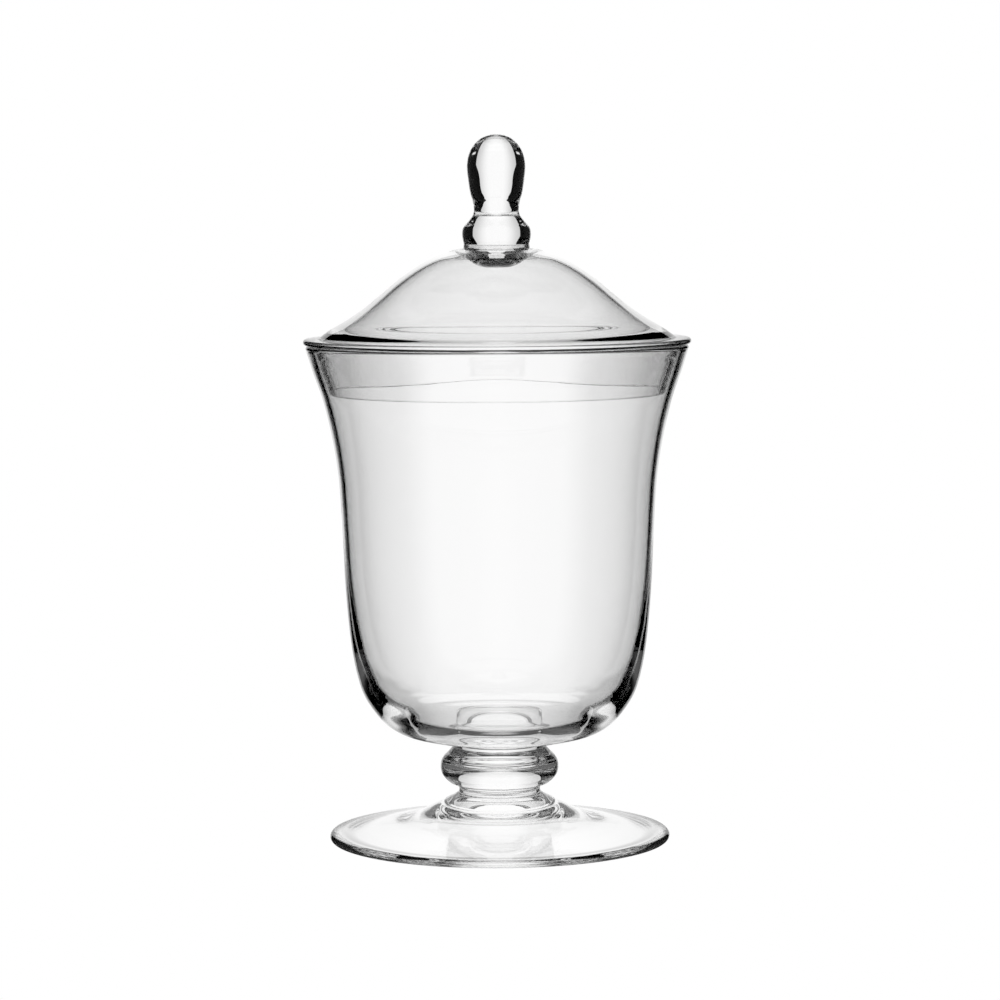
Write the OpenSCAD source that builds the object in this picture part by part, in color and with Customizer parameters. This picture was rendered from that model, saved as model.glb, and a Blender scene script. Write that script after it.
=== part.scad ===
// Footed glass apothecary jar with a loose domed lid.
// Millimetres, +Z up. The origin is the middle of the foot's resting ring.
// Every piece was worked hot and fused to its neighbour, so the pieces of the
// jar meet face to face, and so do the pieces of the lid.

/* [Bowl] */
// Outer radius of the flared rim
rim_r = 89.2; // [86:0.1:92]
// Height of the rim's top edge above the table
rim_z = 232.6; // [225:0.1:240]
// Height of the bowl's underside where it meets the stem
bowl_base_z = 47.2; // [46:0.1:49]
// Thickness of the wall at mid height
bowl_wall = 2.5; // [2:0.1:3.5]
// Extra thickness that the wall gains down to its rounded corner
floor_extra = 6.4; // [4:0.1:7]
// Share of that extra thickness that the floor loses again towards its middle
floor_dip = 0.6; // [0.4:0.05:0.7]
// Radius of the rim's rounded lip
lip_r = 1.6; // [1.4:0.1:1.8]

/* [Stem] */
// Radius of the knop, the flattened ball of the stem
knop_r = 27.7; // [25:0.1:30]
// Height of the seam between the knop and the button above it
button_z = 44.9; // [44:0.1:45.5]
// Radius of the seam between the knop and the button
button_r = 20.8; // [19:0.1:22]
// Height of the seam between the knop and the foot
post_z = 24.0; // [23:0.1:25]
// Radius of the foot's short post
post_r = 18.9; // [17:0.1:20]

/* [Foot] */
// Outer radius of the foot
foot_r = 79.8; // [76:0.1:84]
// Radius of the foot's rounded edge
foot_edge_r = 1.9; // [1.5:0.1:2.2]
// Radius of the polished mark under the foot
mark_r = 24.0; // [22:0.1:25]

/* [Lid] */
// Outer radius of the flange that rests on the rim
flange_r = 90.4; // [89.5:0.1:92]
// Thickness of the flange
flange_t = 2.8; // [2:0.1:3]
// Gap between the flange and the rim's top edge
seat_gap = 0.15; // [0.1:0.05:0.5]
// Thickness of the dome's wall
lid_wall = 2.8; // [2:0.1:3.2]
// Height of the dome's flat top, where the finial is fused on
dome_top_z = 277.4; // [274:0.1:280]
// How far the skirt hangs below the flange
skirt_h = 22.4; // [15:0.1:26]
// Thickness of the skirt
skirt_t = 2.4; // [2:0.1:3]
// Gap between the skirt and the bowl's wall
skirt_gap = 1.0; // [0.6:0.1:1.5]

/* [Finial] */
// Height of the finial's tip above the table
tip_z = 330; // [325:0.1:335]
// Radius of the finial's knob
knob_r = 13.6; // [12:0.1:15]
// Radius of the finial's collar
collar_r = 16.0; // [15:0.1:17]
// Radius of the disc under the collar
disc_r = 15.4; // [14.5:0.1:16]
// Thickness of the disc under the collar
disc_t = 1.8; // [1.2:0.1:2.4]

/* [Hidden] */

$fn = 180;
glass = [0.82, 0.86, 0.87, 0.5];

// Steps between two points of a smooth outline
steps = 6;

// A point beyond the end of an outline: mirrored on the axis, else straight on
function beyond(end, next) = end[0] == 0 ? [-next[0], next[1]] : 2 * end - next;

// Point at share t between b and c of a smooth curve through a, b, c and d
function between(a, b, c, d, t) =
    (2 * b + (c - a) * t + (2 * a - 5 * b + 4 * c - d) * t * t
     + (3 * b - a - 3 * c + d) * t * t * t) / 2;

// Smooth curve through every point of an outline
function smooth(p) = let (last = len(p) - 1) [
    for (i = [0 : last - 1])
        let (a = i == 0 ? beyond(p[0], p[1]) : p[i - 1])
        let (d = i == last - 1 ? beyond(p[last], p[last - 1]) : p[i + 2])
        for (k = [0 : steps - 1])
            between(a, p[i], p[i + 1], d, k / steps),
    p[last]
];

// Points round an arc about c, from angle a to angle b
function arc(c, r, a, b, n = 8) = [
    for (k = [0 : n]) let (t = a + (b - a) * k / n) c + r * [cos(t), sin(t)]
];

function reversed(p) = [for (i = [len(p) - 1 : -1 : 0]) p[i]];

// Unit direction along an outline at point i
function along(p, i) =
    let (d = p[min(i + 1, len(p) - 1)] - p[max(i - 1, 0)]) d / norm(d);

// The bowl's outside as [share of the rim radius, share of the height up to the lip]
bowl_shape = [
    [0.236, 0], [0.385, 0.004], [0.502, 0.017], [0.583, 0.038], [0.647, 0.07], [0.709, 0.1165],
    [0.744, 0.167], [0.769, 0.2275], [0.788, 0.304], [0.804, 0.407], [0.816, 0.532],
    [0.832, 0.6625], [0.8625, 0.766], [0.9105, 0.867], [0.9655, 0.9455], [1, 1]
];
lip_z = rim_z - lip_r;
bowl_h = lip_z - bowl_base_z;
bowl_outer = smooth([for (s = bowl_shape) [s[0] * rim_r, bowl_base_z + s[1] * bowl_h]]);

// Share of the height over which the wall thins, and how quickly
thin_h = 0.55;
thin_power = 2.3;
// Share of the height over which the floor's dip fades out
dip_h = 0.02;

// Wall thickness at height share h: thick corner, thin at mid height, thicker at the lip
function wall_at(h) =
    bowl_wall
    + floor_extra * pow(max(0, 1 - h / thin_h), thin_power) * (1 - floor_dip * exp(-h / dip_h))
    + (2 * lip_r - bowl_wall) * pow(h, 3);

// The bowl's inside: the outside moved in by the wall
floor_z = bowl_base_z + wall_at(0);
bowl_last = len(bowl_shape) - 1;
bowl_inner = smooth(concat(
    [[0, floor_z], [0.2 * rim_r, floor_z + 0.15]],
    [for (i = [1 : bowl_last - 1])
        let (d = along(bowl_outer, i * steps))
        bowl_outer[i * steps] + wall_at(bowl_shape[i][1]) * [-d[1], d[0]]],
    [[rim_r - 2 * lip_r, lip_z]]
));

module turned(outline) {
    rotate_extrude() polygon(outline);
}

// Bell-shaped bowl, blown in one piece
module bowl() {
    color(glass)
        turned(concat([[0, bowl_base_z]], bowl_outer, arc([rim_r - lip_r, lip_z], lip_r, 15, 165),
                      reversed(bowl_inner)));
}

// Flat button of glass between the bowl and the knop
module stem_button() {
    half = (bowl_base_z - button_z) / 2;
    color(glass)
        turned([
            [0, button_z],
            [button_r, button_z],
            [button_r + 0.35 * half, button_z + 0.5 * half],
            [button_r + 0.45 * half, button_z + half],
            [button_r + 0.35 * half, button_z + 1.5 * half],
            [0.236 * rim_r, bowl_base_z],
            [0, bowl_base_z]
        ]);
}

// Solid knop: a flattened ball with a short waist below
module stem_knop() {
    color(glass)
        turned(concat([[0, post_z]], smooth([
            [post_r, post_z],
            [post_r + 0.9, post_z + 1.5],
            [knop_r - 4.3, post_z + 3.2],
            [knop_r - 0.9, post_z + 6.7],
            [knop_r, post_z + 10.6],
            [knop_r - 0.9, button_z - 6.6],
            [knop_r - 3.7, button_z - 3.4],
            [button_r, button_z]
        ]), [[0, button_z]]));
}

// Spreading foot, hollow underneath, with its short post and a polished mark
rest_w = 3.5;
rest_out_r = foot_r - foot_edge_r;
rest_in_r = rest_out_r - rest_w;
// The spread of the foot, above and below, as [share of the foot radius, height]
spread_top = [[0.49, 11.8], [0.575, 9.2], [0.70, 7.2], [0.84, 5.3]];
spread_under = [[0.80, 1.7], [0.68, 3.3], [0.57, 5.2], [0.475, 8.2], [0.39, 11.2]];
foot_top = smooth(concat(
    [
        [post_r, post_z],
        [post_r + 0.6, post_z - 1.7],
        [post_r + 3.2, post_z - 3.5],
        [0.34 * foot_r, post_z - 5.9],
        [0.415 * foot_r, post_z - 8.8]
    ],
    [for (s = spread_top) [s[0] * foot_r, s[1]]],
    [[rest_out_r, 2 * foot_edge_r]]
));
// The polished mark is a shallow recess with a low step round it
mark_edge_z = 15;
mark_top_z = 16;
foot_under = smooth(concat(
    [[rest_in_r, 0], [rest_in_r - 3, 0.4]],
    [for (s = spread_under) [s[0] * foot_r, s[1]]],
    [[mark_r + 0.8, mark_edge_z - 1.8], [mark_r, mark_edge_z - 0.8]]
));

module foot() {
    color(glass)
        turned(concat(
            smooth([[0, mark_top_z], [mark_r / 2, mark_top_z - 0.25],
                    [mark_r - 0.8, mark_edge_z]]),
            reversed(foot_under),
            arc([rest_out_r, foot_edge_r], foot_edge_r, -90, 67.5, 7),
            reversed(foot_top),
            [[0, post_z]]
        ));
}

// Domed lid, blown in one piece: dome, folded flange and the skirt inside the rim
flange_z = rim_z + seat_gap;
flange_top_z = flange_z + flange_t;
dome_h = dome_top_z - flange_top_z;
// The dome's outside as [share of the flange radius, share of the dome's height]
dome_shape = [
    [0.17, 1], [0.245, 0.966], [0.333, 0.895], [0.42, 0.79], [0.51, 0.65], [0.60, 0.485],
    [0.69, 0.33], [0.78, 0.2], [0.86, 0.1], [0.925, 0]
];
dome_last = len(dome_shape) - 1;
dome_outer = smooth([for (s = dome_shape) [s[0] * flange_r, flange_top_z + s[1] * dome_h]]);

// The blob of glass under the dome's top, left where the finial is fused on
blob_r = 13.6;
blob_h = 9.3;

// Radius of the skirt's outside at height z: an even gap inside the bowl
inside_by_height = [for (p = bowl_inner) if (p[0] > 0.5 * rim_r) [p[1], p[0]]];
function skirt_r(z) = lookup(z, inside_by_height) - skirt_gap;

root_r = 1.2;
skirt_top_z = flange_z - root_r;
skirt_end_z = flange_z - skirt_h + skirt_t / 2;
skirt_parts = 8;
skirt_outer = [for (k = [0 : skirt_parts])
    let (z = skirt_top_z + (skirt_end_z - skirt_top_z) * k / skirt_parts) [skirt_r(z), z]];

lid_inner = smooth(concat(
    [
        [0, dome_top_z - blob_h],
        [0.43 * blob_r, dome_top_z - 0.98 * blob_h],
        [0.77 * blob_r, dome_top_z - 0.77 * blob_h],
        [blob_r, dome_top_z - 0.45 * blob_h],
        [1.18 * blob_r, dome_top_z - 0.29 * blob_h]
    ],
    [for (i = [1 : dome_last - 1])
        let (d = along(dome_outer, i * steps)) dome_outer[i * steps] + lid_wall * [d[1], -d[0]]],
    [skirt_outer[0] + [-skirt_t - 1, flange_t]],
    [for (k = [0 : 2 : skirt_parts]) skirt_outer[k] - [skirt_t, 0]]
));

module lid() {
    edge_r = flange_t / 2;
    color(glass)
        turned(concat(
            [[0, dome_top_z]],
            dome_outer,
            arc([flange_r - edge_r, flange_z + edge_r], edge_r, 90, -90),
            arc([skirt_outer[0][0] + root_r, skirt_top_z], root_r, 90, 165),
            skirt_outer,
            arc(skirt_outer[skirt_parts] - [skirt_t / 2, 0], skirt_t / 2, -15, -165),
            reversed(lid_inner)
        ));
}

// Thin disc that joins the finial to the dome
finial_base_z = dome_top_z + disc_t;
module finial_disc() {
    color(glass)
        turned([
            [0, dome_top_z],
            [disc_r, dome_top_z],
            [disc_r, dome_top_z + 0.3 * disc_t],
            [disc_r - 0.2, finial_base_z],
            [0, finial_base_z]
        ]);
}

// Collar of the finial
crease_z = 293;
neck_r = 10.5;
module finial_collar() {
    color(glass)
        turned(concat([[0, finial_base_z]], smooth([
            [disc_r - 0.2, finial_base_z],
            [collar_r - 0.2, finial_base_z + 2.6],
            [collar_r, finial_base_z + 5.2],
            [collar_r - 0.6, finial_base_z + 7.8],
            [collar_r - 3.1, finial_base_z + 10.7],
            [neck_r + 0.8, crease_z - 1],
            [neck_r + 0.3, crease_z]
        ]), [[0, crease_z]]));
}

// Solid knob of the finial: a slim body under a rounded crown
crown_h = 15.5;
crown_z = tip_z - crown_h;
// The crown is a superellipse, a little fuller than an ellipse
crown_power = 0.93;
crown_step = 15;
crown = [for (a = [0 : crown_step : 75])
    [knob_r * pow(cos(a), crown_power), crown_z + crown_h * pow(sin(a), crown_power)]];
module finial_knob() {
    color(glass)
        turned(concat([[0, crease_z]], smooth(concat(
            [
                [neck_r + 0.3, crease_z],
                [neck_r, crease_z + 1.6],
                [neck_r + 0.05, crease_z + 3.4],
                [neck_r + 0.3, crease_z + 5.2],
                [knob_r - 2.4, crown_z - 14.4],
                [knob_r - 1.5, crown_z - 11.6],
                [knob_r - 0.7, crown_z - 6.6]
            ],
            crown,
            [[0, tip_z]]
        ))));
}

foot();
stem_knop();
stem_button();
bowl();
lid();
finial_disc();
finial_collar();
finial_knob();
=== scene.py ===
import math

import bpy
from mathutils import Matrix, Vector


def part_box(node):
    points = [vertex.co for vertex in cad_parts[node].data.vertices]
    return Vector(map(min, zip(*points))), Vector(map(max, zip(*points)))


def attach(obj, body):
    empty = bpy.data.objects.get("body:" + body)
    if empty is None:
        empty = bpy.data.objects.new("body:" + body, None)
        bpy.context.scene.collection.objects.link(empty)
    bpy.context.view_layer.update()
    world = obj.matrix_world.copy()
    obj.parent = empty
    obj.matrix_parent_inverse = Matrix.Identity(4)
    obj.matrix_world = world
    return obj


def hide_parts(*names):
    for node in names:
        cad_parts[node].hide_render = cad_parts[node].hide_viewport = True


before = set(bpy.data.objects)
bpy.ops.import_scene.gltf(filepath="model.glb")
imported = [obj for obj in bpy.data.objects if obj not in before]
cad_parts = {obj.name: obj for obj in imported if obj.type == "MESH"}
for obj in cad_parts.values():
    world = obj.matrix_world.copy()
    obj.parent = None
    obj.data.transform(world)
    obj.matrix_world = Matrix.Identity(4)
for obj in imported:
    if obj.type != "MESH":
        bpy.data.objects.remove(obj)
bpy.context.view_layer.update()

# Sizes below are in millimetres and are turned into metres when a mesh is made.
MM = 0.001


def reach(node):
    """Outer radius, lowest z and highest z of a CAD node, in millimetres."""
    low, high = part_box(node)
    return high.x / MM, low.z / MM, high.z / MM


RIM_R, BOWL_BASE_Z, RIM_Z = reach("bowl")
KNOP_R, POST_Z, BUTTON_Z = reach("stem_knop")
FOOT_R = reach("foot")[0]
FLANGE_R, _, DOME_TOP_Z = reach("lid")
DISC_R, _, DISC_TOP_Z = reach("finial_disc")
COLLAR_R, _, CREASE_Z = reach("finial_collar")
KNOB_R, _, TIP_Z = reach("finial_knob")

BOWL_WALL = 2.5
FLOOR_EXTRA = 6.4
FLOOR_DIP = 0.6
LIP_R = 1.6
BUTTON_R = 20.8
POST_R = 18.9
FOOT_EDGE_R = 1.9
MARK_R = 24.0
FLANGE_T = 2.8
SEAT_GAP = 0.15
LID_WALL = 2.8
SKIRT_H = 22.4
SKIRT_T = 2.4
SKIRT_GAP = 1.0
NECK_R = 10.5

STEPS = 10       # mesh rings between two points of an outline
TURNS = 256      # mesh columns round the axis
INSIDE = 0.9995  # keeps the finely turned meshes inside the CAD's coarser ones


# ---------------------------------------------------------------- outlines

def add(a, b, k=1.0):
    return (a[0] + k * b[0], a[1] + k * b[1])


def beyond(end, following):
    """A point past the end of an outline: mirrored on the axis, else straight on."""
    if end[0] == 0:
        return (-following[0], following[1])
    return (2 * end[0] - following[0], 2 * end[1] - following[1])


def smooth(p):
    """A smooth curve through every point of an outline."""
    p = [beyond(p[0], p[1]), *p, beyond(p[-1], p[-2])]
    out = []
    for a, b, c, d in zip(p, p[1:], p[2:], p[3:]):
        for k in range(STEPS):
            t = k / STEPS
            out.append(tuple(
                (2 * b[j] + (c[j] - a[j]) * t + (2 * a[j] - 5 * b[j] + 4 * c[j] - d[j]) * t * t
                 + (3 * b[j] - a[j] - 3 * c[j] + d[j]) * t ** 3) / 2
                for j in (0, 1)))
    return out + [p[-2]]


def arc(centre, r, start, end, n=12):
    """Points round an arc, from one angle to another in degrees."""
    angles = [math.radians(start + (end - start) * k / n) for k in range(n + 1)]
    return [(centre[0] + r * math.cos(a), centre[1] + r * math.sin(a)) for a in angles]


def across(p, i):
    """Unit direction to the left of an outline at point i."""
    a, b = p[max(i - 1, 0)], p[min(i + 1, len(p) - 1)]
    dx, dz = b[0] - a[0], b[1] - a[1]
    n = math.hypot(dx, dz)
    return (-dz / n, dx / n)


BOWL_SHAPE = [
    (0.236, 0), (0.385, 0.004), (0.502, 0.017), (0.583, 0.038), (0.647, 0.07), (0.709, 0.1165),
    (0.744, 0.167), (0.769, 0.2275), (0.788, 0.304), (0.804, 0.407), (0.816, 0.532),
    (0.832, 0.6625), (0.8625, 0.766), (0.9105, 0.867), (0.9655, 0.9455), (1, 1),
]
LIP_Z = RIM_Z - LIP_R
BOWL_H = LIP_Z - BOWL_BASE_Z
bowl_outer = smooth([(r * RIM_R, BOWL_BASE_Z + h * BOWL_H) for r, h in BOWL_SHAPE])


def wall_at(h):
    """Wall thickness at height share h: thick floor, thin at mid height, thicker at the lip."""
    thick = FLOOR_EXTRA * max(0, 1 - h / 0.55) ** 2.3 * (1 - FLOOR_DIP * math.exp(-h / 0.02))
    return BOWL_WALL + thick + (2 * LIP_R - BOWL_WALL) * h ** 3


FLOOR_Z = BOWL_BASE_Z + wall_at(0)
bowl_inner = smooth(
    [(0, FLOOR_Z), (0.2 * RIM_R, FLOOR_Z + 0.15)]
    + [add(bowl_outer[i * STEPS], across(bowl_outer, i * STEPS), wall_at(BOWL_SHAPE[i][1]))
       for i in range(1, len(BOWL_SHAPE) - 1)]
    + [(RIM_R - 2 * LIP_R, LIP_Z)])
bowl_outline = (
    [(0, BOWL_BASE_Z)] + bowl_outer[:-1] + arc((RIM_R - LIP_R, LIP_Z), LIP_R, 0, 180)
    + bowl_inner[-2::-1])

HALF_BUTTON = (BOWL_BASE_Z - BUTTON_Z) / 2
button_outline = (
    [(0, BUTTON_Z)]
    + smooth([
        (BUTTON_R, BUTTON_Z),
        (BUTTON_R + 0.35 * HALF_BUTTON, BUTTON_Z + 0.5 * HALF_BUTTON),
        (BUTTON_R + 0.45 * HALF_BUTTON, BUTTON_Z + HALF_BUTTON),
        (BUTTON_R + 0.35 * HALF_BUTTON, BUTTON_Z + 1.5 * HALF_BUTTON),
        (BOWL_SHAPE[0][0] * RIM_R, BOWL_BASE_Z)])
    + [(0, BOWL_BASE_Z)])

knop_outline = (
    [(0, POST_Z)]
    + smooth([
        (POST_R, POST_Z), (POST_R + 0.9, POST_Z + 1.5), (KNOP_R - 4.3, POST_Z + 3.2),
        (KNOP_R - 0.9, POST_Z + 6.7), (KNOP_R, POST_Z + 10.6), (KNOP_R - 0.9, BUTTON_Z - 6.6),
        (KNOP_R - 3.7, BUTTON_Z - 3.4), (BUTTON_R, BUTTON_Z)])
    + [(0, BUTTON_Z)])

REST_OUT_R = FOOT_R - FOOT_EDGE_R
REST_IN_R = REST_OUT_R - 3.5
foot_top = smooth([
    (POST_R, POST_Z), (POST_R + 0.6, POST_Z - 1.7), (POST_R + 3.2, POST_Z - 3.5),
    (0.34 * FOOT_R, POST_Z - 5.9), (0.415 * FOOT_R, POST_Z - 8.8), (0.49 * FOOT_R, 11.8),
    (0.575 * FOOT_R, 9.2), (0.70 * FOOT_R, 7.2), (0.84 * FOOT_R, 5.3),
    (REST_OUT_R, 2 * FOOT_EDGE_R)])
foot_under = smooth([
    (REST_IN_R, 0), (REST_IN_R - 3, 0.4), (0.80 * FOOT_R, 1.7), (0.68 * FOOT_R, 3.3),
    (0.57 * FOOT_R, 5.2), (0.475 * FOOT_R, 8.2), (0.39 * FOOT_R, 11.2), (MARK_R + 0.8, 13.2),
    (MARK_R, 14.2)])
foot_outline = (
    smooth([(0, 16), (MARK_R / 2, 15.75), (MARK_R - 0.8, 15)]) + foot_under[::-1]
    + arc((REST_OUT_R, FOOT_EDGE_R), FOOT_EDGE_R, -90, 90)
    + foot_top[-2::-1] + [(0, POST_Z)])

FLANGE_Z = RIM_Z + SEAT_GAP
FLANGE_TOP_Z = FLANGE_Z + FLANGE_T
DOME_H = DOME_TOP_Z - FLANGE_TOP_Z
DOME_SHAPE = [
    (0.17, 1), (0.245, 0.966), (0.333, 0.895), (0.42, 0.79), (0.51, 0.65), (0.60, 0.485),
    (0.69, 0.33), (0.78, 0.2), (0.86, 0.1), (0.925, 0),
]
dome_outer = smooth([(r * FLANGE_R, FLANGE_TOP_Z + h * DOME_H) for r, h in DOME_SHAPE])
BLOB_R = 13.6
BLOB_H = 9.3
ROOT_R = 1.2


def skirt_r(z):
    """Radius of the skirt's outside: an even gap inside the bowl's wall."""
    for (r0, z0), (r1, z1) in zip(bowl_inner, bowl_inner[1:]):
        if r0 > RIM_R / 2 and z0 <= z <= z1:
            return r0 + (r1 - r0) * (z - z0) / (z1 - z0) - SKIRT_GAP
    return RIM_R - 2 * LIP_R - SKIRT_GAP


SKIRT_TOP_Z = FLANGE_Z - ROOT_R
SKIRT_END_Z = FLANGE_Z - SKIRT_H + SKIRT_T / 2
skirt_heights = [SKIRT_TOP_Z + (SKIRT_END_Z - SKIRT_TOP_Z) * k / 4 for k in range(5)]
skirt_outer = smooth([(skirt_r(z), z) for z in skirt_heights])
lid_inner = smooth(
    [(0, DOME_TOP_Z - BLOB_H), (0.43 * BLOB_R, DOME_TOP_Z - 0.98 * BLOB_H),
     (0.77 * BLOB_R, DOME_TOP_Z - 0.77 * BLOB_H), (BLOB_R, DOME_TOP_Z - 0.45 * BLOB_H),
     (1.18 * BLOB_R, DOME_TOP_Z - 0.29 * BLOB_H)]
    + [add(dome_outer[i * STEPS], across(dome_outer, i * STEPS), -LID_WALL)
       for i in range(1, len(DOME_SHAPE) - 1)]
    + [add(skirt_outer[0], (-SKIRT_T - 1, FLANGE_T))]
    + [(skirt_r(z) - SKIRT_T, z) for z in skirt_heights])
EDGE_R = FLANGE_T / 2
lid_outline = (
    lid_inner[:-1]
    + arc(add(skirt_outer[-1], (-SKIRT_T / 2, 0)), SKIRT_T / 2, -165, -15)
    + skirt_outer[::-1]
    + arc((skirt_outer[0][0] + ROOT_R, SKIRT_TOP_Z), ROOT_R, 165, 90)
    + arc((FLANGE_R - EDGE_R, FLANGE_Z + EDGE_R), EDGE_R, -90, 90)
    + dome_outer[::-1] + [(0, DOME_TOP_Z)])

DISC_T = DISC_TOP_Z - DOME_TOP_Z
disc_outline = (
    [(0, DOME_TOP_Z)]
    + smooth([(DISC_R, DOME_TOP_Z), (DISC_R, DOME_TOP_Z + 0.3 * DISC_T),
              (DISC_R - 0.2, DISC_TOP_Z)])
    + [(0, DISC_TOP_Z)])

collar_outline = (
    [(0, DISC_TOP_Z)]
    + smooth([
        (DISC_R - 0.2, DISC_TOP_Z), (COLLAR_R - 0.2, DISC_TOP_Z + 2.6),
        (COLLAR_R, DISC_TOP_Z + 5.2), (COLLAR_R - 0.6, DISC_TOP_Z + 7.8),
        (COLLAR_R - 3.1, DISC_TOP_Z + 10.7), (NECK_R + 0.8, CREASE_Z - 1),
        (NECK_R + 0.3, CREASE_Z)])
    + [(0, CREASE_Z)])

CROWN_H = 15.5
CROWN_Z = TIP_Z - CROWN_H
crown = [
    (KNOB_R * math.cos(a) ** 0.93, CROWN_Z + CROWN_H * math.sin(a) ** 0.93)
    for a in (math.radians(15 * k) for k in range(6))]
knob_outline = (
    [(0, CREASE_Z)]
    + smooth([
        (NECK_R + 0.3, CREASE_Z), (NECK_R, CREASE_Z + 1.6), (NECK_R + 0.05, CREASE_Z + 3.4),
        (NECK_R + 0.3, CREASE_Z + 5.2),
        (KNOB_R - 2.4, CROWN_Z - 14.4), (KNOB_R - 1.5, CROWN_Z - 11.6),
        (KNOB_R - 0.7, CROWN_Z - 6.6), *crown, (0, TIP_Z)]))


# ---------------------------------------------------------------- materials

def glass_material(name, wave_size, wave_depth):
    """Clear fire-polished glass with faint waves left by blowing and tooling."""
    mat = bpy.data.materials.new(name)
    mat.use_nodes = True
    nodes, links = mat.node_tree.nodes, mat.node_tree.links
    shader = nodes["Principled BSDF"]
    shader.inputs["Base Color"].default_value = (1, 1, 1, 1)
    shader.inputs["Roughness"].default_value = 0.0
    shader.inputs["IOR"].default_value = 1.5
    shader.inputs["Transmission Weight"].default_value = 1.0
    place = nodes.new("ShaderNodeTexCoord")
    stretch = nodes.new("ShaderNodeMapping")
    stretch.inputs["Scale"].default_value = (1, 1, 2.2)
    waves = nodes.new("ShaderNodeTexNoise")
    waves.inputs["Scale"].default_value = 1 / wave_size
    waves.inputs["Detail"].default_value = 1.5
    waves.inputs["Roughness"].default_value = 0.35
    bump = nodes.new("ShaderNodeBump")
    bump.inputs["Strength"].default_value = 1.0
    bump.inputs["Distance"].default_value = wave_depth
    links.new(place.outputs["Object"], stretch.inputs["Vector"])
    links.new(stretch.outputs["Vector"], waves.inputs["Vector"])
    links.new(waves.outputs["Fac"], bump.inputs["Height"])
    links.new(bump.outputs["Normal"], shader.inputs["Normal"])
    return mat


def seam_material():
    """Fused seam inside the glass: light passes straight through it."""
    mat = bpy.data.materials.new("fused_seam")
    mat.use_nodes = True
    nodes, links = mat.node_tree.nodes, mat.node_tree.links
    nodes.remove(nodes["Principled BSDF"])
    clear = nodes.new("ShaderNodeBsdfTransparent")
    links.new(clear.outputs["BSDF"], nodes["Material Output"].inputs["Surface"])
    return mat


blown_glass = glass_material("blown_glass", 0.045, 0.00006)
solid_glass = glass_material("solid_glass", 0.03, 0.00003)
fused_seam = seam_material()


# ---------------------------------------------------------------- turned pieces

SHARP_TURN = math.radians(30)


def turned(name, outline, material, node, body, seams=(), shift=None):
    """A closed glass piece: the outline, from axis to axis, turned about the z axis."""
    points = [p for i, p in enumerate(outline) if i == 0 or math.dist(p, outline[i - 1]) > 1e-4]
    verts, rings = [], []
    for r, z in points:
        if r < 1e-6:
            rings.append([len(verts)] * TURNS)
            verts.append((0, 0, z * MM))
            continue
        rings.append(list(range(len(verts), len(verts) + TURNS)))
        for k in range(TURNS):
            a = 2 * math.pi * k / TURNS
            dr, dz = shift(r, z, a) if shift else (0, 0)
            out = (r + dr) * INSIDE * MM
            verts.append((out * math.sin(a), -out * math.cos(a), (z + dz) * MM))
    faces, at_seam = [], []
    for (p0, ring0), (p1, ring1) in zip(zip(points, rings), zip(points[1:], rings[1:])):
        is_seam = any(abs(p0[1] - s) < 1e-3 and abs(p1[1] - s) < 1e-3 for s in seams)
        for k in range(TURNS):
            j = (k + 1) % TURNS
            corners = [ring0[k], ring0[j], ring1[j], ring1[k]]
            faces.append(list(dict.fromkeys(corners)))
            at_seam.append(is_seam)
    mesh = bpy.data.meshes.new(name)
    mesh.from_pydata(verts, [], faces)
    mesh.materials.append(material)
    mesh.materials.append(fused_seam)
    mesh.polygons.foreach_set("material_index", [1 if s else 0 for s in at_seam])
    mesh.polygons.foreach_set("use_smooth", [True] * len(faces))
    mesh.update()
    mesh.set_sharp_from_angle(angle=SHARP_TURN)
    mesh.validate()
    piece = bpy.data.objects.new(name, mesh)
    bpy.context.scene.collection.objects.link(piece)
    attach(piece, body)
    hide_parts(node)
    return piece


def skirt_wave(r, z, a):
    """The skirt's sheared edge was only fire polished, so it runs a little up and down."""
    drop = min(1, max(0, (SKIRT_TOP_Z - 4 - z) / (SKIRT_TOP_Z - 4 - SKIRT_END_Z)))
    back = abs(math.degrees(a) - 180)
    lift = 0.1 + 1.9 * math.exp(-(back / 24) ** 2) + 0.9 * math.exp(-((back - 80) / 22) ** 2)
    return 0, lift * drop * drop if r < RIM_R - 3 and z < FLANGE_Z - 1 else 0


turned("foot_glass", foot_outline, solid_glass, "foot", "jar", (POST_Z,))
turned("stem_knop_glass", knop_outline, solid_glass, "stem_knop", "jar",
       (POST_Z, BUTTON_Z))
turned("stem_button_glass", button_outline, solid_glass, "stem_button", "jar",
       (BUTTON_Z, BOWL_BASE_Z))
turned("bowl_glass", bowl_outline, blown_glass, "bowl", "jar", (BOWL_BASE_Z,))
turned("lid_glass", lid_outline, blown_glass, "lid", "lid", (DOME_TOP_Z,),
       skirt_wave)
turned("finial_disc_glass", disc_outline, solid_glass, "finial_disc", "lid",
       (DOME_TOP_Z, DISC_TOP_Z))
turned("finial_collar_glass", collar_outline, solid_glass, "finial_collar", "lid",
       (DISC_TOP_Z, CREASE_Z))
turned("finial_knob_glass", knob_outline, solid_glass, "finial_knob", "lid",
       (CREASE_Z,))


# ---------------------------------------------------------------- stage and light

def math_node(nodes, links, operation, a, b=None, clamp=False):
    node = nodes.new("ShaderNodeMath")
    node.operation = operation
    node.use_clamp = clamp
    for socket, value in zip(node.inputs, (a, b)):
        if isinstance(value, (int, float)):
            socket.default_value = value
        elif value is not None:
            links.new(value, socket)
    return node.outputs[0]


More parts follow.
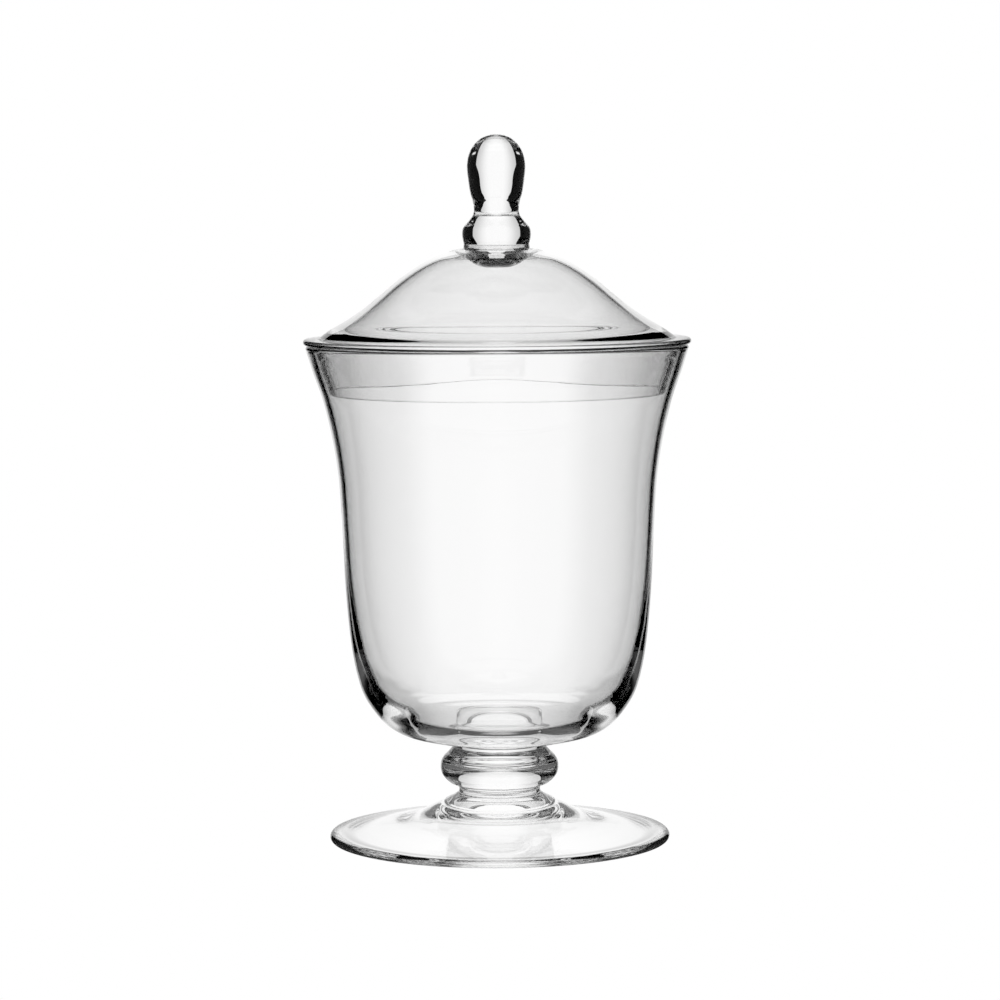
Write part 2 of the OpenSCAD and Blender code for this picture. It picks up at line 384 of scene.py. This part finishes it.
def ramp_node(nodes, links, fac, stops, interpolation="LINEAR"):
    """Grey levels along 0 to 1, from (position, level) pairs."""
    ramp = nodes.new("ShaderNodeValToRGB")
    ramp.color_ramp.interpolation = interpolation
    links.new(fac, ramp.inputs["Fac"])
    elements = ramp.color_ramp.elements
    for position, level in stops[1:-1]:
        elements.new(position).color = (level, level, level, 1)
    for element, (position, level) in ((elements[0], stops[0]), (elements[-1], stops[-1])):
        element.position = position
        element.color = (level, level, level, 1)
    return ramp.outputs["Color"]


def mix_node(nodes, links, fac, a, b):
    mix = nodes.new("ShaderNodeMix")
    mix.data_type = "RGBA"
    links.new(fac, mix.inputs["Factor"])
    for socket, value in ((mix.inputs["A"], a), (mix.inputs["B"], b)):
        if isinstance(value, (int, float)):
            socket.default_value = (value, value, value, 1)
        else:
            links.new(value, socket)
    return mix.outputs["Result"]


# Levels of the light by compass angle in degrees from straight behind the jar: the open
# room on the camera's side of the dark flags, and the room as it is mirrored.
ROOM = [(0, 0.0), (80, 0.0), (84, 0.85), (120, 0.95), (180, 1.0)]
MIRRORED = [(0, 0.0), (108, 0.0), (130, 0.85), (180, 1.0)]
# A gap low in each flag lets light through from the table.
GAP = [(0, 0.0), (38, 0.0), (40, 0.9), (50, 0.9), (52, 0.0), (180, 0.0)]
# Heights as the sine of the angle above the horizon, each with its soft edge.
GAP_TOP = (-0.14, -0.17)
SLOT_TOP = (-0.31, -0.33)
SLOT_END = (-0.40, -0.37)
TABLE_GLOW = (-0.93, -0.98)
CEILING = (0.3, 0.22)
# A ray that has passed more surfaces than this has left both walls of the hollow jar.
TWO_WALLS = 3
# Share of the mirrored light taken away for rays that have passed two surfaces, as through solid
# glass: painted shade in the solid pieces' reflections.
SOLID_PAINTED_SHADE = 0.85


def past_walls(nodes, links, path):
    """1 for a ray that has passed both walls of the jar, else 0."""
    return math_node(
        nodes, links, "SUBTRACT", path.outputs["Transmission Depth"], TWO_WALLS, clamp=True)


def make_world():
    world = bpy.data.worlds.new("studio")
    bpy.context.scene.world = world
    world.use_nodes = True
    nodes, links = world.node_tree.nodes, world.node_tree.links
    background = nodes["Background"]
    place = nodes.new("ShaderNodeTexCoord")
    parts = nodes.new("ShaderNodeSeparateXYZ")
    path = nodes.new("ShaderNodeLightPath")
    links.new(place.outputs["Generated"], parts.inputs[0])
    x, y, z = parts.outputs

    def math_of(operation, a, b=None, clamp=False):
        return math_node(nodes, links, operation, a, b, clamp)

    def step(start, end):
        """0 where the height is at start, 1 where it is at end."""
        return math_of("DIVIDE", math_of("SUBTRACT", z, start), end - start, clamp=True)

    angle = math_of("DIVIDE", math_of("ARCTAN2", math_of("ABSOLUTE", x), y), math.pi)
    room, mirrored, gap = (
        ramp_node(nodes, links, angle, [(a / 180, level) for a, level in stops])
        for stops in (ROOM, MIRRORED, GAP))
    slot = math_of("MULTIPLY", step(*SLOT_TOP), step(*SLOT_END))
    through = math_of("MULTIPLY", step(*GAP_TOP), past_walls(nodes, links, path))
    gap = math_of("MULTIPLY", gap, math_of("MAXIMUM", slot, through))
    room = math_of("MAXIMUM", room, math_of("MAXIMUM", gap, step(*TABLE_GLOW)))
    room = math_of("MULTIPLY", room, step(*CEILING))
    bounced = math_of("MINIMUM", path.outputs["Glossy Depth"], 1)
    # Reflected rays that have passed just two surfaces, as through the solid pieces, are given
    # darker light here: painted shade in those pieces.
    solid = nodes.new("ShaderNodeMath")
    solid.operation = "COMPARE"
    links.new(path.outputs["Transmission Depth"], solid.inputs[0])
    solid.inputs[1].default_value = 2
    solid.inputs[2].default_value = 0.5
    dimmed = math_of("SUBTRACT", 1, math_of("MULTIPLY", solid.outputs[0], SOLID_PAINTED_SHADE))
    mirrored = math_of("MULTIPLY", mirrored, dimmed)
    light = mix_node(nodes, links, bounced, room, mirrored)
    seen = mix_node(nodes, links, path.outputs["Is Camera Ray"], light, 1.0)
    links.new(seen, background.inputs["Color"])


# The lit panel behind the jar, in metres.
PANEL_BEHIND = 0.31
PANEL_HALF_WIDTH = 0.180
PANEL_TOP = 0.47
PANEL_FOOT = -0.6
# Its upper corners are cut off in two steps: distance from its middle, height.
PANEL_CORNERS = [(PANEL_HALF_WIDTH, 0.30), (0.11, 0.40), (0.045, PANEL_TOP)]
# Its level falls off from the middle: share of the half width, level.
PANEL_LEVELS = [(0, 1.0), (0.3, 1.0), (0.45, 0.92), (0.7, 0.75), (1, 0.62)]
# Below the table top it is shaded but for one stripe: height, level.
PANEL_SHADE = [(PANEL_FOOT, 0.05), (-0.30, 0.05), (-0.26, 0.55), (-0.21, 0.55), (-0.18, 0.0),
               (-0.08, 0.0), (-0.03, 1.0), (PANEL_TOP, 1.0)]
# The shade is this light for rays that have passed both walls.
SHADE_PAST_WALLS = 0.7


def make_panel():
    """A lit panel standing close behind the jar, brightest along its middle."""
    mesh = bpy.data.meshes.new("light_panel")
    half = [(PANEL_HALF_WIDTH, PANEL_FOOT), *PANEL_CORNERS]
    outline = half + [(-x, z) for x, z in reversed(half)]
    mesh.from_pydata([(x, PANEL_BEHIND, z) for x, z in outline], [], [list(range(len(outline)))])
    panel = bpy.data.objects.new("light_panel", mesh)
    bpy.context.scene.collection.objects.link(panel)
    panel.visible_camera = False
    panel.visible_shadow = False
    mat = bpy.data.materials.new("lit_panel")
    mat.use_nodes = True
    nodes, links = mat.node_tree.nodes, mat.node_tree.links
    nodes.remove(nodes["Principled BSDF"])
    place = nodes.new("ShaderNodeTexCoord")
    parts = nodes.new("ShaderNodeSeparateXYZ")
    glow = nodes.new("ShaderNodeEmission")
    links.new(place.outputs["Object"], parts.inputs[0])
    out = math_node(nodes, links, "ABSOLUTE", parts.outputs["X"])
    out = math_node(nodes, links, "DIVIDE", out, PANEL_HALF_WIDTH)
    across_it = ramp_node(nodes, links, out, PANEL_LEVELS)
    height = PANEL_TOP - PANEL_FOOT
    up = math_node(nodes, links, "SUBTRACT", parts.outputs["Z"], PANEL_FOOT)
    up = math_node(nodes, links, "DIVIDE", up, height)
    stops = [((z - PANEL_FOOT) / height, level) for z, level in PANEL_SHADE]
    up_it = ramp_node(nodes, links, up, stops)
    links.new(across_it, glow.inputs["Color"])
    path = nodes.new("ShaderNodeLightPath")
    walls = past_walls(nodes, links, path)
    walls = math_node(nodes, links, "MULTIPLY", walls, SHADE_PAST_WALLS)
    links.new(math_node(nodes, links, "MAXIMUM", up_it, walls), glow.inputs["Strength"])
    links.new(glow.outputs["Emission"], nodes["Material Output"].inputs["Surface"])
    mesh.materials.append(mat)


TABLE_R = 3
TABLE_Z = -0.0003
TABLE_SIDES = 96
# Under the foot the table is seen through the glass too, out to this radius.
SPOT_R = 0.073
SPOT_EDGE = 0.006


def make_floor():
    """A pale glowing table top: a round sheet, seen only from above."""
    angles = [-2 * math.pi * k / TABLE_SIDES for k in range(TABLE_SIDES)]
    rim = [(TABLE_R * math.sin(a), TABLE_R * math.cos(a), TABLE_Z) for a in angles]
    mesh = bpy.data.meshes.new("floor")
    mesh.from_pydata(rim, [], [list(range(TABLE_SIDES))])
    floor = bpy.data.objects.new("floor", mesh)
    bpy.context.scene.collection.objects.link(floor)
    mat = bpy.data.materials.new("pale_floor")
    mat.use_nodes = True
    nodes, links = mat.node_tree.nodes, mat.node_tree.links
    nodes.remove(nodes["Principled BSDF"])
    glow = nodes.new("ShaderNodeEmission")
    clear = nodes.new("ShaderNodeBsdfTransparent")
    side = nodes.new("ShaderNodeNewGeometry")
    path = nodes.new("ShaderNodeLightPath")
    front = math_node(nodes, links, "SUBTRACT", 1, side.outputs["Backfacing"])
    place = nodes.new("ShaderNodeTexCoord")
    flat = nodes.new("ShaderNodeVectorMath")
    flat.operation = "LENGTH"
    links.new(place.outputs["Object"], flat.inputs[0])
    near = math_node(nodes, links, "SUBTRACT", SPOT_R, flat.outputs["Value"])
    near = math_node(nodes, links, "DIVIDE", near, SPOT_EDGE, clamp=True)
    direct = math_node(nodes, links, "SUBTRACT", 1, past_walls(nodes, links, path))
    near = math_node(nodes, links, "MULTIPLY", near, direct)
    seen = math_node(nodes, links, "MAXIMUM", near, path.outputs["Is Camera Ray"])
    shown = math_node(nodes, links, "MULTIPLY", front, seen)
    mix = nodes.new("ShaderNodeMixShader")
    links.new(shown, mix.inputs["Fac"])
    links.new(clear.outputs["BSDF"], mix.inputs[1])
    links.new(glow.outputs["Emission"], mix.inputs[2])
    links.new(mix.outputs["Shader"], nodes["Material Output"].inputs["Surface"])
    mesh.materials.append(mat)


CAMERA_AT = (0, -1.7696, 0.3146)
LENS = 136.8
SENSOR = 36
TILT, ROLL, PAN = 85, -0.33, -0.03


def make_camera():
    """Long lens a little below the finial's tip, tilted down at the jar."""
    data = bpy.data.cameras.new("camera")
    data.lens = LENS
    data.sensor_width = SENSOR
    camera = bpy.data.objects.new("camera", data)
    bpy.context.scene.collection.objects.link(camera)
    camera.location = CAMERA_AT
    turn = Matrix.Rotation(math.radians(PAN), 4, "Z")
    turn = turn @ Matrix.Rotation(math.radians(TILT), 4, "X")
    turn = turn @ Matrix.Rotation(math.radians(ROLL), 4, "Z")
    camera.rotation_mode = "QUATERNION"
    camera.rotation_quaternion = turn.to_quaternion()
    bpy.context.scene.camera = camera


make_world()
make_panel()
make_floor()
make_camera()

scene = bpy.context.scene
scene.view_settings.view_transform = "Standard"
scene.cycles.max_bounces = 48
scene.cycles.transmission_bounces = 48
scene.cycles.glossy_bounces = 24
scene.cycles.transparent_max_bounces = 32
scene.cycles.diffuse_bounces = 2
scene.cycles.caustics_refractive = True
scene.cycles.caustics_reflective = True
scene.cycles.sample_clamp_indirect = 4.0
